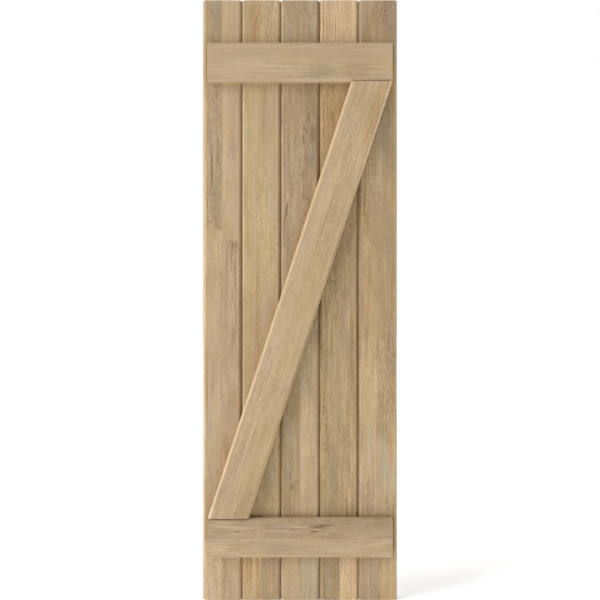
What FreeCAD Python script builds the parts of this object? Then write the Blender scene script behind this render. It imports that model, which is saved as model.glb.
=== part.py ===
import FreeCAD, Part
import os

import Sketcher

# Board and batten shutter. The origin is in the middle of the back face, the front looks along -Y and Z is up.
# Five upright boards meet in V-joints. Two battens and a diagonal brace are screwed on from behind.

# Millimetres. Battens and brace are cut from the same stock, dressed to 19 by 89.
SIZES = {
    "board_length": 1371.6,
    "board_width": 88.9,
    "board_thickness": 19.05,
    "edge_chamfer": 5.5,
    "tongue_length": 6.5,
    "tongue_thickness": 5.0,
    "tongue_clearance": 0.4,
    "batten_width": 88.9,
    "batten_thickness": 19.05,
    "batten_setback": 101.6,
    "batten_inset": 12.7,
    "screw_hole": 4.5,
    "screw_head": 8.6,
    "screw_spread": 32.0,
    "screw_stagger": 36.0,
    "seam_margin": 16.0,
}
BOARD_COUNT = 5
COUNTERSINK_ANGLE = 90

# Lengths that follow from the sizes, as expressions.
PANEL_WIDTH = f"({BOARD_COUNT} * sizes.board_width)"
BATTEN_LENGTH = f"({PANEL_WIDTH} - 2 * sizes.batten_inset)"
LOW_BATTEN = "sizes.batten_setback"
HIGH_BATTEN = "(sizes.board_length - sizes.batten_setback - sizes.batten_width)"
CLEAR_HEIGHT = f"({HIGH_BATTEN} - {LOW_BATTEN} - sizes.batten_width)"
# Lean from upright of a strip whose opposite corners reach the ends of both battens.
BRACE_LEAN = (
    f"(acos(sizes.batten_width / sqrt({BATTEN_LENGTH}^2 + {CLEAR_HEIGHT}^2))"
    f" - atan({CLEAR_HEIGHT} / {BATTEN_LENGTH}))"
)
# Depths of the tongue's faces in front of the board's back, midway in the wood behind the V.
TONGUE_BACK = "((sizes.board_thickness - sizes.edge_chamfer - sizes.tongue_thickness) / 2)"
TONGUE_FRONT = f"({TONGUE_BACK} + sizes.tongue_thickness)"

doc = FreeCAD.newDocument("shutter")
sheet = doc.addObject("Spreadsheet::Sheet", "sizes")
for row, (alias, size) in enumerate(SIZES.items(), start=1):
    sheet.set(f"A{row}", alias)
    sheet.set(f"B{row}", str(size))
    sheet.setAlias(f"B{row}", alias)
doc.recompute()


def value(expression):
    """The number that an expression comes to, which starts each line near its final place."""
    return float(sheet.evalExpression(expression))


def new_sketch(body, name, role):
    """An empty sketch on one of the body's own planes."""
    sketch = body.newObject("Sketcher::SketchObject", name)
    plane = next(feature for feature in body.Origin.OriginFeatures if feature.Role == role)
    sketch.AttachmentSupport = (plane, "")
    sketch.MapMode = "FlatFace"
    return sketch


def bind(sketch, kind, *ends, expression):
    """A sketch dimension that follows an expression."""
    number = sketch.addConstraint(Sketcher.Constraint(kind, *ends, value(expression)))
    sketch.setExpression(f"Constraints[{number}]", expression)


def closed_lines(sketch, spots):
    """A ring of lines through the spots, each joined to the next."""
    for start, end in zip(spots, spots[1:] + spots[:1]):
        sketch.addGeometry(Part.LineSegment(start, end))
    for number in range(len(spots)):
        sketch.addConstraint(Sketcher.Constraint("Coincident", number, 1, (number - 1) % len(spots), 2))


def pad(body, name, sketch, length):
    """The sketch carried along its normal by a length."""
    solid = body.newObject("PartDesign::Pad", name)
    solid.Profile = sketch
    solid.setExpression("Length", length)
    doc.recompute()
    return solid


def place(body, across, forward, up):
    """Stands the body's corner at its place in the shutter."""
    body.setExpression("Placement.Base.x", across)
    body.setExpression("Placement.Base.y", f"-({forward})")
    body.setExpression("Placement.Base.z", f"({up}) - sizes.board_length / 2")


def board_corners(has_groove, has_tongue):
    """Corners of a board's end, as distances right of its left shoulder and forward of its back."""
    corners = [("0", "0")]
    if has_groove:
        floor = "(sizes.tongue_length + sizes.tongue_clearance)"
        back = f"({TONGUE_BACK} - sizes.tongue_clearance)"
        front = f"({TONGUE_FRONT} + sizes.tongue_clearance)"
        corners += [("0", back), (floor, back), (floor, front), ("0", front)]
    corners += [
        ("0", "sizes.board_thickness - sizes.edge_chamfer"),
        ("sizes.edge_chamfer", "sizes.board_thickness"),
        ("sizes.board_width - sizes.edge_chamfer", "sizes.board_thickness"),
        ("sizes.board_width", "sizes.board_thickness - sizes.edge_chamfer"),
    ]
    if has_tongue:
        tip = "sizes.board_width + sizes.tongue_length"
        corners += [
            ("sizes.board_width", TONGUE_FRONT),
            (tip, TONGUE_FRONT),
            (tip, TONGUE_BACK),
            ("sizes.board_width", TONGUE_BACK),
        ]
    corners += [("sizes.board_width", "0")]
    return corners


def screw_spots(index):
    """Places of a board's screws, right of its left shoulder and above its foot."""
    left = "(sizes.board_width - sizes.screw_spread) / 2"
    right = "(sizes.board_width + sizes.screw_spread) / 2"
    spots = []
    for batten in (LOW_BATTEN, HIGH_BATTEN):
        height = f"{batten} + sizes.batten_width / 2"
        spots.append((left, f"{height} + sizes.screw_stagger / 2"))
        spots.append((right, f"{height} - sizes.screw_stagger / 2"))
    under_brace = [left, right]
    if index == 0:
        under_brace = ["sizes.board_width - sizes.seam_margin"]
    if index == BOARD_COUNT - 1:
        under_brace = ["sizes.seam_margin"]
    for across in under_brace:
        from_centre = f"({across} + {index} * sizes.board_width - {PANEL_WIDTH} / 2)"
        spots.append((across, f"sizes.board_length / 2 + {from_centre} / tan({BRACE_LEAN})"))
    return spots


def drill(body, index):
    """Countersunk holes through a board from its back, for the screws of both battens and the brace."""
    sketch = new_sketch(body, f"{body.Label}_screws", "XZ_Plane")
    for number, (across, up) in enumerate(screw_spots(index)):
        centre = FreeCAD.Vector(value(across), value(up), 0)
        sketch.addGeometry(Part.Circle(centre, FreeCAD.Vector(0, 0, 1), value("sizes.screw_hole") / 2))
        bind(sketch, "Diameter", number, expression="sizes.screw_hole")
        bind(sketch, "DistanceX", -1, 1, number, 3, expression=across)
        bind(sketch, "DistanceY", -1, 1, number, 3, expression=up)
    doc.recompute()
    hole = body.newObject("PartDesign::Hole", f"{body.Label}_holes")
    hole.Profile = sketch
    hole.Reversed = True
    hole.DepthType = "ThroughAll"
    hole.HoleCutType = "Countersink"
    hole.HoleCutCountersinkAngle = COUNTERSINK_ANGLE
    hole.setExpression("Diameter", "sizes.screw_hole")
    hole.setExpression("HoleCutDiameter", "sizes.screw_head")
    doc.recompute()
    body.Tip = hole


def make_board(index):
    """An upright board: its V-joint end shape carried up its length, then drilled."""
    body = doc.addObject("PartDesign::Body", f"board_{index + 1}")
    sketch = new_sketch(body, f"{body.Label}_end", "XY_Plane")
    corners = board_corners(has_groove=index > 0, has_tongue=index < BOARD_COUNT - 1)
    spots = [FreeCAD.Vector(value(across), -value(forward), 0) for across, forward in corners]
    closed_lines(sketch, spots)
    for number, (across, forward) in enumerate(corners):
        bind(sketch, "DistanceX", -1, 1, number, 1, expression=across)
        bind(sketch, "DistanceY", number, 1, -1, 1, expression=forward)
    pad(body, f"{body.Label}_length", sketch, "sizes.board_length")
    drill(body, index)
    place(body, f"{index} * sizes.board_width - {PANEL_WIDTH} / 2", "0", "0")
    return body


def finish_strip(body, outline, foot):
    """Gives a strip its thickness, chamfers its two long front edges and lays it on the boards."""
    solid = pad(body, f"{body.Label}_thickness", outline, "sizes.batten_thickness")
    front = -value("sizes.batten_thickness")
    edges = enumerate(solid.Shape.Edges, start=1)
    in_front = [(edge.Length, number) for number, edge in edges if abs(edge.BoundBox.YMax - front) < 1e-6]
    long_edges = [f"Edge{number}" for length, number in sorted(in_front)[-2:]]
    chamfer = body.newObject("PartDesign::Chamfer", f"{body.Label}_chamfers")
    chamfer.Base = (solid, long_edges)
    chamfer.setExpression("Size", "sizes.edge_chamfer")
    doc.recompute()
    body.Tip = chamfer
    place(body, f"-{BATTEN_LENGTH} / 2", "sizes.board_thickness", foot)
    return body


def make_batten(name, foot):
    """A level batten, square at both ends."""
    body = doc.addObject("PartDesign::Body", name)
    sketch = new_sketch(body, f"{name}_outline", "XZ_Plane")
    corners = [
        ("0", "0"),
        (BATTEN_LENGTH, "0"),
        (BATTEN_LENGTH, "sizes.batten_width"),
        ("0", "sizes.batten_width"),
    ]
    closed_lines(sketch, [FreeCAD.Vector(value(across), value(up), 0) for across, up in corners])
    for number, (across, up) in enumerate(corners):
        bind(sketch, "DistanceX", -1, 1, number, 1, expression=across)
        bind(sketch, "DistanceY", -1, 1, number, 1, expression=up)
    return finish_strip(body, sketch, foot)


def make_brace():
    """The diagonal brace. The sketch finds its lean from its width and the corners that it must reach."""
    body = doc.addObject("PartDesign::Body", "diagonal_brace")
    sketch = new_sketch(body, "diagonal_brace_outline", "XZ_Plane")
    end_cut = value(f"sizes.batten_width / cos({BRACE_LEAN})")
    reach, height = value(BATTEN_LENGTH), value(CLEAR_HEIGHT)
    closed_lines(
        sketch,
        [
            FreeCAD.Vector(0, 0, 0),
            FreeCAD.Vector(end_cut, 0, 0),
            FreeCAD.Vector(reach, height, 0),
            FreeCAD.Vector(reach - end_cut, height, 0),
        ],
    )
    low_end, right_side, high_end, left_side = range(4)
    sketch.addConstraint(Sketcher.Constraint("Coincident", low_end, 1, -1, 1))
    sketch.addConstraint(Sketcher.Constraint("Horizontal", low_end))
    sketch.addConstraint(Sketcher.Constraint("Horizontal", high_end))
    sketch.addConstraint(Sketcher.Constraint("Parallel", left_side, right_side))
    bind(sketch, "DistanceX", -1, 1, high_end, 1, expression=BATTEN_LENGTH)
    bind(sketch, "DistanceY", -1, 1, high_end, 1, expression=CLEAR_HEIGHT)
    bind(sketch, "Distance", low_end, 1, right_side, expression="sizes.batten_width")
    return finish_strip(body, sketch, f"{LOW_BATTEN} + sizes.batten_width")


pieces = [make_board(index) for index in range(BOARD_COUNT)]
pieces.append(make_batten("bottom_batten", LOW_BATTEN))
pieces.append(make_batten("top_batten", HIGH_BATTEN))
pieces.append(make_brace())
doc.recompute()

for thing in doc.Objects:
    if {"Invalid", "Error"} & set(thing.State):
        raise RuntimeError(f"{thing.Label} did not compute")
os.makedirs("parts", exist_ok=True)
for piece in pieces:
    if piece.Shape.isNull() or not piece.Shape.isValid():
        raise RuntimeError(f"{piece.Label} has no sound shape")
    piece.Shape.exportStep(f"parts/{piece.Label}.step")
    print(piece.Label, len(piece.Shape.Solids), round(piece.Shape.Volume), piece.Shape.BoundBox)
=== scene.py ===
# %% [markdown]
# # A board and batten shutter
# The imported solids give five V-jointed boards, two battens and a diagonal brace at their real size. This
# lesson dresses them. Each timber is swept again with eased edges and gets grain that runs its own way, and
# the screws that hold it all together go into the back.
#
# Everything stays in the solids' own frame, in metres. The back of the boards is the plane y = 0, the front
# looks along -Y and Z is up, so a new piece goes where its solid is, with no fitting.

# %% Load the frame
import math
from collections import namedtuple

import bpy
import numpy as np
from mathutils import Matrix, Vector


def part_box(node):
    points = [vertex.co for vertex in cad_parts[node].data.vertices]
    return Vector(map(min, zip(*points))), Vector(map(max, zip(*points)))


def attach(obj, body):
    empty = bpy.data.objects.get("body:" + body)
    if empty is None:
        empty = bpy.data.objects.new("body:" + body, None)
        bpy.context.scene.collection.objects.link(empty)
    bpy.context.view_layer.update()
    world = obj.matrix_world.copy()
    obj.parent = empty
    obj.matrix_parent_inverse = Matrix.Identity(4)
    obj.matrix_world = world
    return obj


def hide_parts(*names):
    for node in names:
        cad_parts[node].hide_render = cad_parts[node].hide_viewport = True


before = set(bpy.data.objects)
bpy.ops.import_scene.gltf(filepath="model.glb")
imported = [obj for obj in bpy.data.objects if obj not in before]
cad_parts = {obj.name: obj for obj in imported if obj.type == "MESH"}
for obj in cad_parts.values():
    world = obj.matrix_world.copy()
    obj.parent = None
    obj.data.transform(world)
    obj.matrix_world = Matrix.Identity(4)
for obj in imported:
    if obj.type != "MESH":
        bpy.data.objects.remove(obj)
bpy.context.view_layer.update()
print("solids:", list(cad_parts))

# %% [markdown]
# Most sizes can be read off the solids' boxes, so that the looks follow the model if it is packed again.
# Only what a box can't tell, such as the chamfer and the tongue, is written here a second time. An arris is
# the sharp line where two planed faces meet. A joiner takes it off with two strokes of sandpaper.

# %% Sizes of the timbers
board_low, board_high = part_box("board_5")
BOARD_WIDTH, BOARD_THICKNESS, BOARD_LENGTH = board_high - board_low
batten_low, batten_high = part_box("top_batten")
BATTEN_LENGTH, BATTEN_THICKNESS, BATTEN_WIDTH = batten_high - batten_low
brace_low, brace_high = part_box("diagonal_brace")
BRACE_HEIGHT = brace_high.z - brace_low.z
BRACE_LEAN = math.acos(BATTEN_WIDTH / math.hypot(BATTEN_LENGTH, BRACE_HEIGHT))
BRACE_LEAN -= math.atan2(BRACE_HEIGHT, BATTEN_LENGTH)

BOARD_COUNT = 5
CHAMFER = 0.0055
TONGUE_LENGTH = 0.0065
TONGUE_THICKNESS = 0.005
TONGUE_CLEARANCE = 0.0004
ARRIS = 0.0006
JOINT_GAP = 0.0008
print(f"boards {BOARD_WIDTH:.4f} wide, brace leans {math.degrees(BRACE_LEAN):.2f} degrees")

# %% [markdown]
# A timber's cross-section is a ring of corners. Blender's Bevel modifier could ease them, but here each
# corner is replaced by a small parabola, because the same array maths also serves the ends of the timber
# later. Corners run anticlockwise when the end of the timber is looked at, so that faces will point outwards.

# %% A cross-section with eased corners
EASE_STEPS = 2


def eased(corners):
    """Corner P between A and B becomes (1-t)^2 S + 2t(1-t) P + t^2 E, S and E one arris from P to A and B."""
    corner = np.array(corners, float)
    towards = [np.roll(corner, way, 0) - corner for way in (1, -1)]
    start, end = (corner + ARRIS * to / np.linalg.norm(to, axis=1, keepdims=True) for to in towards)
    t = np.linspace(0, 1, EASE_STEPS + 1)[:, None, None]
    arcs = (1 - t) ** 2 * start + 2 * t * (1 - t) * corner + t**2 * end
    return arcs.transpose(1, 0, 2).reshape(-1, 2)


def strip_corners(width, thickness, groove=(), tongue=(), left_gap=0.0, right_gap=0.0):
    """Corners as (across, depth). The back is at depth 0, the front, with two chamfers, at -thickness."""
    left, right, front = left_gap - width / 2, width / 2 - right_gap, -thickness
    return [
        (left, 0),
        *groove,
        (left, front + CHAMFER - left_gap),
        (CHAMFER - width / 2, front),
        (width / 2 - CHAMFER, front),
        (right, front + CHAMFER - right_gap),
        *tongue,
        (right, 0),
    ]


plain_strip = eased(strip_corners(BATTEN_WIDTH, BATTEN_THICKNESS))
print("a batten's cross-section has", len(plain_strip), "points")

# %% [markdown]
# The boards of such a shutter meet in V-joints. Behind the V, a tongue on one board slides into a groove in
# the next, so that no light shows through when the wood shrinks. Only the board ends show it, but a door or
# shutter maker would look there first. The outer boards have a plain edge on the outside. Between boards a
# hair of a gap is left, as wood needs it to swell, and it draws the dark line at the bottom of every V.


# %% The boards' tongue and groove
def board_corners(number):
    """The corners of board 1 to 5, counted from the left: groove on the left edge, tongue on the right."""
    left_gap = JOINT_GAP / 2 if number > 1 else 0.0
    right_gap = JOINT_GAP / 2 if number < BOARD_COUNT else 0.0
    left, right = left_gap - BOARD_WIDTH / 2, BOARD_WIDTH / 2 - right_gap
    back = -(BOARD_THICKNESS - CHAMFER - TONGUE_THICKNESS) / 2
    front = back - TONGUE_THICKNESS
    floor = TONGUE_LENGTH + TONGUE_CLEARANCE - BOARD_WIDTH / 2
    mouth_back, mouth_front = back + TONGUE_CLEARANCE, front - TONGUE_CLEARANCE
    groove = [(left, mouth_back), (floor, mouth_back), (floor, mouth_front), (left, mouth_front)]
    tip = BOARD_WIDTH / 2 + TONGUE_LENGTH
    tongue = [(right, front), (tip, front), (tip, back), (right, back)]
    return strip_corners(
        BOARD_WIDTH,
        BOARD_THICKNESS,
        groove=groove if number > 1 else (),
        tongue=tongue if number < BOARD_COUNT else (),
        left_gap=left_gap,
        right_gap=right_gap,
    )


print("corners of each board before easing:", [len(board_corners(n)) for n in range(1, BOARD_COUNT + 1)])

# %% [markdown]
# Sweeping is the oldest way to make a moulding: a cross-section carried along a straight path. As a grid,
# one parameter runs round the cross-section and the other along the grain. The rows next to each end shrink
# by the same parabola as the corners, so the sawn ends have eased edges too. The brace's ends are cut
# aslant, which is a skew: every point moves along the grain by its place across.

# %% Carry a cross-section along the grain
STATION_SPACING = 0.05


def carry(outline, length, stations, skew=0.0):
    """Grid of (across, along, depth): the outline at every station, shrunk at the ends by arris*(1-t)^2."""
    t = np.linspace(0, 1, EASE_STEPS + 1)
    shrink, setback = ARRIS * (1 - t) ** 2, ARRIS * t**2
    along = np.concatenate([setback - length / 2, stations, (length / 2 - setback)[::-1]])
    inset = np.concatenate([shrink, 0 * stations, shrink[::-1]])
    run = np.roll(outline, -1, 0) - np.roll(outline, 1, 0)
    outward = np.stack([run[:, 1], -run[:, 0]], 1) / np.linalg.norm(run, axis=1, keepdims=True)
    ring = outline - inset[:, None, None] * outward
    return np.stack([ring[..., 0], along[:, None] + skew * ring[..., 0], ring[..., 1]], -1)


def ring_faces(rows, columns):
    """Four corners of every face of a grid whose columns close into a ring, anticlockwise from outside."""
    here = np.arange(rows * columns).reshape(rows, columns)
    beside = np.roll(here, -1, 1)
    return np.stack([here[:-1], beside[:-1], beside[1:], here[1:]], -1)


def even_stations(length):
    """Places along a timber between its ends, about one spacing apart."""
    return np.linspace(-length / 2, length / 2, round(length / STATION_SPACING) + 1)[1:-1]


print("even stations along a board:", len(even_stations(BOARD_LENGTH)))

# %% [markdown]
# Nothing is nailed through the front of this shutter, so battens and brace are screwed on from behind: two
# staggered screws a board at each batten, and one or two wherever the brace crosses a board.

# %% Where the screws are
SCREW_SPREAD = 0.032
SCREW_STAGGER = 0.036
SEAM_MARGIN = 0.016
BATTEN_MIDDLE = (batten_low.z + batten_high.z) / 2


def board_middle(number):
    """How far right of the shutter's middle a board's middle is."""
    return (number - (BOARD_COUNT + 1) / 2) * BOARD_WIDTH


def screw_places(number):
    """(across, along) of a board's screws. Under the brace they follow its middle line, x / tan(lean)."""
    side, rise = SCREW_SPREAD / 2, SCREW_STAGGER / 2
    places = [(-way * side, at + way * rise) for at in (-BATTEN_MIDDLE, BATTEN_MIDDLE) for way in (1, -1)]
    under_brace = [-side, side]
    if number == 1:
        under_brace = [BOARD_WIDTH / 2 - SEAM_MARGIN]
    if number == BOARD_COUNT:
        under_brace = [SEAM_MARGIN - BOARD_WIDTH / 2]
    places += [(across, (board_middle(number) + across) / math.tan(BRACE_LEAN)) for across in under_brace]
    return np.array(places)


print("screws:", sum(len(screw_places(number)) for number in range(1, BOARD_COUNT + 1)))

# %% [markdown]
# The holes are countersunk. A Boolean modifier could cut them. Opening the grid is cleaner: five grid lines
# each way are drawn round every screw, the sixteen faces between them go, and the sixteen points round the
# gap move out onto a circle. Two more rings make the cone and the wall of the hole.

# %% Open the countersunk holes
HOLE_RADIUS = 0.00225
SINK_RADIUS = 0.0043
HOLE_DEPTH = 0.012
# faces along each side of the square that makes way for a hole
PATCH = 4
LINES_ROUND_SCREW = SINK_RADIUS * np.tan(np.radians(np.linspace(-45, 45, PATCH + 1)))
step = np.arange(PATCH)
RIM_ROWS = np.r_[0 * step, step, PATCH + 0 * step, PATCH - step]
RIM_COLUMNS = np.r_[step, PATCH + 0 * step, PATCH - step, 0 * step]


def open_holes(grid, faces, places, first_back):
    """Pushes grid points onto circle c + R u, adds rings c + r u at depth R - r and at the hole's depth."""
    rows, columns, _ = grid.shape
    back_across = grid[rows // 2, first_back:, 0]
    row = np.abs(grid[:, first_back, 1] - places[:, 1:] + SINK_RADIUS).argmin(1)
    column = first_back + np.abs(back_across - places[:, :1] - SINK_RADIUS).argmin(1)
    rim = (row[:, None] + RIM_ROWS) * columns + column[:, None] + RIM_COLUMNS
    points = grid.reshape(-1, 3)
    centre = np.c_[places, np.zeros(len(places))][:, None]
    way = points[rim] - centre
    way /= np.linalg.norm(way, axis=2, keepdims=True)
    points[rim] = centre + SINK_RADIUS * way
    depths = np.array([HOLE_RADIUS - SINK_RADIUS, -HOLE_DEPTH])
    below = (centre + HOLE_RADIUS * way)[:, None] + depths[:, None, None] * np.array([0, 0, 1])
    new = rows * columns + np.arange(below[..., 0].size).reshape(below.shape[:3])
    loops = np.concatenate([rim[:, None], new], 1)
    turned = np.roll(loops, -1, 2)
    walls = np.stack([loops[:, :-1], turned[:, :-1], turned[:, 1:], loops[:, 1:]], -1)
    keep = np.ones(faces.shape[:2], bool)
    for at, beside in zip(row, column):
        keep[at : at + PATCH, beside : beside + PATCH] = False
    all_faces = np.concatenate([faces[keep], walls.reshape(-1, 4)])
    return np.concatenate([points, below.reshape(-1, 3)]), all_faces, list(loops[:, -1])


print(f"each hole narrows from {2 * SINK_RADIUS:.4f} to {2 * HOLE_RADIUS:.4f} m across")

# %% [markdown]
# A finished mesh sits at the origin with its place in its points, as the solids do. It also remembers, point
# by point, where it is in its own timber: across the grain, along it, and into the depth. The wood material
# reads this attribute instead of the object's coordinates, so the grain runs up a board, along a batten and
# up the leaning brace. A second attribute marks the two sawn ends.

# %% From grid to mesh
GRAIN = "grain"
SAWN_END = "sawn_end"


def make_timber(node, points, faces, caps, turn, middle):
    """World point = middle + across*a + along*l + depth*d, with a, l turned about Y by the timber's lean."""
    sine, cosine = math.sin(turn), math.cos(turn)
    axes = np.array([[cosine, 0, -sine], [sine, 0, cosine], [0, 1, 0]])
    used = np.zeros(len(points), bool)
    used[faces] = True
    renumber = np.cumsum(used) - 1
    mesh = bpy.data.meshes.new(f"{node}_planed")
    rings = [renumber[cap].tolist() for cap in caps]
    mesh.from_pydata((points[used] @ axes + middle).tolist(), [], renumber[faces].tolist() + rings)
    mesh.attributes.new(GRAIN, "FLOAT_VECTOR", "POINT").data.foreach_set("vector", points[used].ravel())
    sawn = np.zeros(len(mesh.polygons))
    sawn[len(faces) : len(faces) + 2] = 1
    mesh.attributes.new(SAWN_END, "FLOAT", "FACE").data.foreach_set("value", sawn)
    timber = bpy.data.objects.new(mesh.name, mesh)
    bpy.context.scene.collection.objects.link(timber)
    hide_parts(node)
    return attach(timber, "root")


def end_caps(rows, columns):
    """The two sawn ends, as rings of points that face away from the timber."""
    ring = np.arange(columns)
    return [ring[::-1], (rows - 1) * columns + ring]


print("every timber carries the attributes", GRAIN, "and", SAWN_END)

# %% [markdown]
# The boards need grid lines round their screws. Even stations that fall inside those lines are dropped, so
# that each screw keeps a clean patch of four by four faces.

# %% The five boards
SAME_LINE_DIGITS = 7


def lines_round(places):
    """The grid lines round all screws in one direction, each only once."""
    return np.unique(np.round(places + LINES_ROUND_SCREW, SAME_LINE_DIGITS))


def make_board(number):
    """Sweeps one board, opens its screw holes and stands it in its place."""
    places = screw_places(number)
    even = even_stations(BOARD_LENGTH)
    clear = np.abs(even[:, None] - places[:, 1]).min(1) > 2 * SINK_RADIUS
    stations = np.sort(np.r_[even[clear], lines_round(places[:, 1:])])
    back_lines = lines_round(places[:, :1])[::-1]
    front = eased(board_corners(number))
    outline = np.concatenate([front, np.c_[back_lines, 0 * back_lines]])
    grid = carry(outline, BOARD_LENGTH, stations)
    rows, columns, _ = grid.shape
    points, faces, bottoms = open_holes(grid, ring_faces(rows, columns), places, len(front))
    caps = end_caps(rows, columns) + bottoms
    middle = (board_middle(number), 0, 0)
    return make_timber(f"board_{number}", points, faces, caps, 0.0, middle)


boards = [make_board(number) for number in range(1, BOARD_COUNT + 1)]
print("faces in each board:", [len(board.data.polygons) for board in boards])

# %% [markdown]
# Battens and brace are plain chamfered strips on the front of the boards. A batten is a strip turned a
# quarter turn, so its grain lies level. The brace leans until its corners reach the ends of both battens,
# and its ends are skewed back to level by the tangent of that lean.


# %% The battens and the brace
def make_strip(node, length, turn, height, skew=0.0):
    """Sweeps one strip and lays it on the front of the boards."""
    grid = carry(plain_strip, length, even_stations(length), skew)
    rows, columns, _ = grid.shape
    faces = ring_faces(rows, columns).reshape(-1, 4)
    middle = (0, -BOARD_THICKNESS, height)
    return make_timber(node, grid.reshape(-1, 3), faces, end_caps(rows, columns), turn, middle)


top_batten = make_strip("top_batten", BATTEN_LENGTH, math.pi / 2, BATTEN_MIDDLE)
bottom_batten = make_strip("bottom_batten", BATTEN_LENGTH, math.pi / 2, -BATTEN_MIDDLE)
brace_length = BRACE_HEIGHT / math.cos(BRACE_LEAN)
brace = make_strip("diagonal_brace", brace_length, BRACE_LEAN, 0, math.tan(BRACE_LEAN))
print("strips:", [strip.name for strip in (top_batten, bottom_batten, brace)])

# %% [markdown]
# Each screw is a flat head with a six-lobed drive. Its surface is a stack of rings: the cone that sits in
# the countersink, the rim, the flat top just under the wood, and the star-shaped socket. Radius is a
# function of ring and angle, and only the socket's rings have the lobes, as r(1 + e cos 6a). A real screw
# stops at any angle, so each one gets a turn of its own from a seeded draw.

# %% The screws in the back
HEAD_RINGS = np.array(
    [
        # radius, depth and lobe share
        [0.0021, -0.0022, 0.0],
        [0.0041, -0.0003, 0.0],
        [0.0040, -0.0001, 0.0],
        [0.0020, -0.0001, 0.2],
        [0.0019, -0.0002, 0.2],
        [0.0017, -0.0014, 0.2],
    ]
)
LOBES = 6
HEAD_STEPS = 24
TURN_SEED = 4
TURNS_DRAWN = 64
angle = np.linspace(0, 2 * np.pi, HEAD_STEPS, endpoint=False)
turns = np.random.default_rng(TURN_SEED).uniform(0, 2 * np.pi / LOBES, TURNS_DRAWN)


def make_screws():
    """Every screw as one mesh. A ring's point is c + r (cos(a+turn), sin(a+turn)) at its depth."""
    centre = np.concatenate([screw_places(n) + (board_middle(n), 0) for n in range(1, BOARD_COUNT + 1)])
    radius = HEAD_RINGS[:, :1] * (1 + HEAD_RINGS[:, 2:] * np.cos(LOBES * angle))
    turned = angle + turns[: len(centre), None]
    x = centre[:, 0, None, None] + radius * np.cos(turned)[:, None]
    z = centre[:, 1, None, None] + radius * np.sin(turned)[:, None]
    y = np.broadcast_to(HEAD_RINGS[:, 1:2], x.shape)
    points = np.stack([x, y, z], -1)
    screws, rings, steps, _ = points.shape
    one = ring_faces(rings, steps).reshape(-1, 4)[:, ::-1]
    first = np.arange(screws) * rings * steps
    faces = (first[:, None, None] + one).reshape(-1, 4).tolist()
    ring = np.arange(steps)
    faces += (first[:, None] + ring).tolist()
    faces += (first[:, None] + (rings - 1) * steps + ring[::-1]).tolist()
    mesh = bpy.data.meshes.new("back_screws")
    mesh.from_pydata(points.reshape(-1, 3).tolist(), [], faces)
    made = bpy.data.objects.new("back_screws", mesh)
    bpy.context.scene.collection.objects.link(made)
    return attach(made, "root")


screws = make_screws()
print("screw faces:", len(screws.data.polygons))

# %% [markdown]
# Blender builds a material out of nodes. A few helpers keep the recipes below short: one adds a node and
# fills its sockets, two do sums, one turns one range of values into another, two go from one number or colour
# to a second one, and one starts a group that several materials share.


# %% Node helpers
def add(tree, kind, sockets, **settings):
    """Adds a node. A socket gets a link if its value is a node's output, and a plain value otherwise."""
    made = tree.nodes.new(f"ShaderNode{kind}")
    for name, setting in settings.items():
        setattr(made, name, setting)
    for socket, value in sockets.items():
        if isinstance(value, bpy.types.NodeSocket):
            tree.links.new(value, made.inputs[socket])
        else:
            made.inputs[socket].default_value = value
    return made


def sums(tree, operation, *values):
    """The result of one Math node."""
    return add(tree, "Math", dict(enumerate(values)), operation=operation).outputs[0]


def vectors(tree, operation, *values):
    """The result of one Vector Math node."""
    return add(tree, "VectorMath", dict(enumerate(values)), operation=operation).outputs[0]


def ramp(tree, value, start, end, low=0.0, high=1.0, course="LINEAR"):
    """Goes from low to high while the value goes from start to end."""
    sockets = {"Value": value, "From Min": start, "From Max": end, "To Min": low, "To Max": high}
    return add(tree, "MapRange", sockets, interpolation_type=course).outputs["Result"]


def choose(tree, share, first, second):
    """Goes from the first number to the second by the share."""
    return add(tree, "Mix", {0: share, 2: first, 3: second}).outputs[0]


def blend(tree, share, first, second):
    """Goes from the first colour to the second by the share."""
    return add(tree, "Mix", {0: share, 6: first, 7: second}, data_type="RGBA").outputs[2]


def start_group(name, inputs, outputs):
    """An empty node group, with its inputs and outputs ready to be wired."""
    group = bpy.data.node_groups.new(name, "ShaderNodeTree")
    for title, kind in inputs.items():
        group.interface.new_socket(title, in_out="INPUT", socket_type=f"NodeSocket{kind}")
    for title, kind in outputs.items():
        group.interface.new_socket(title, in_out="OUTPUT", socket_type=f"NodeSocket{kind}")
    return group, group.nodes.new("NodeGroupInput").outputs, group.nodes.new("NodeGroupOutput").inputs


helpers = (add, sums, vectors, ramp, choose, blend, start_group)
print("node helpers:", [helper.__name__ for helper in helpers])

# %% [markdown]
# Grain lines are never ruler straight, and a stain creeps further along one bundle of fibres than along the
# next. So two sets of coordinates are made for the wood: one that wanders slowly sideways, for the grain
# itself, and one that is also pushed back and forth along every bundle of fibres, for streaks, whose ends
# then look ragged. The shift moves a timber to another place in the noise.

# %% Wandering grain
WANDER = 0.006
CREEP = 0.12
# waves a metre across the grain, along it and in depth
SLOW_WAVES = (8, 4, 8)
BUNDLE_WAVES = (60, 12, 60)
FIBRE_WAVES = (260, 3, 260)


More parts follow.
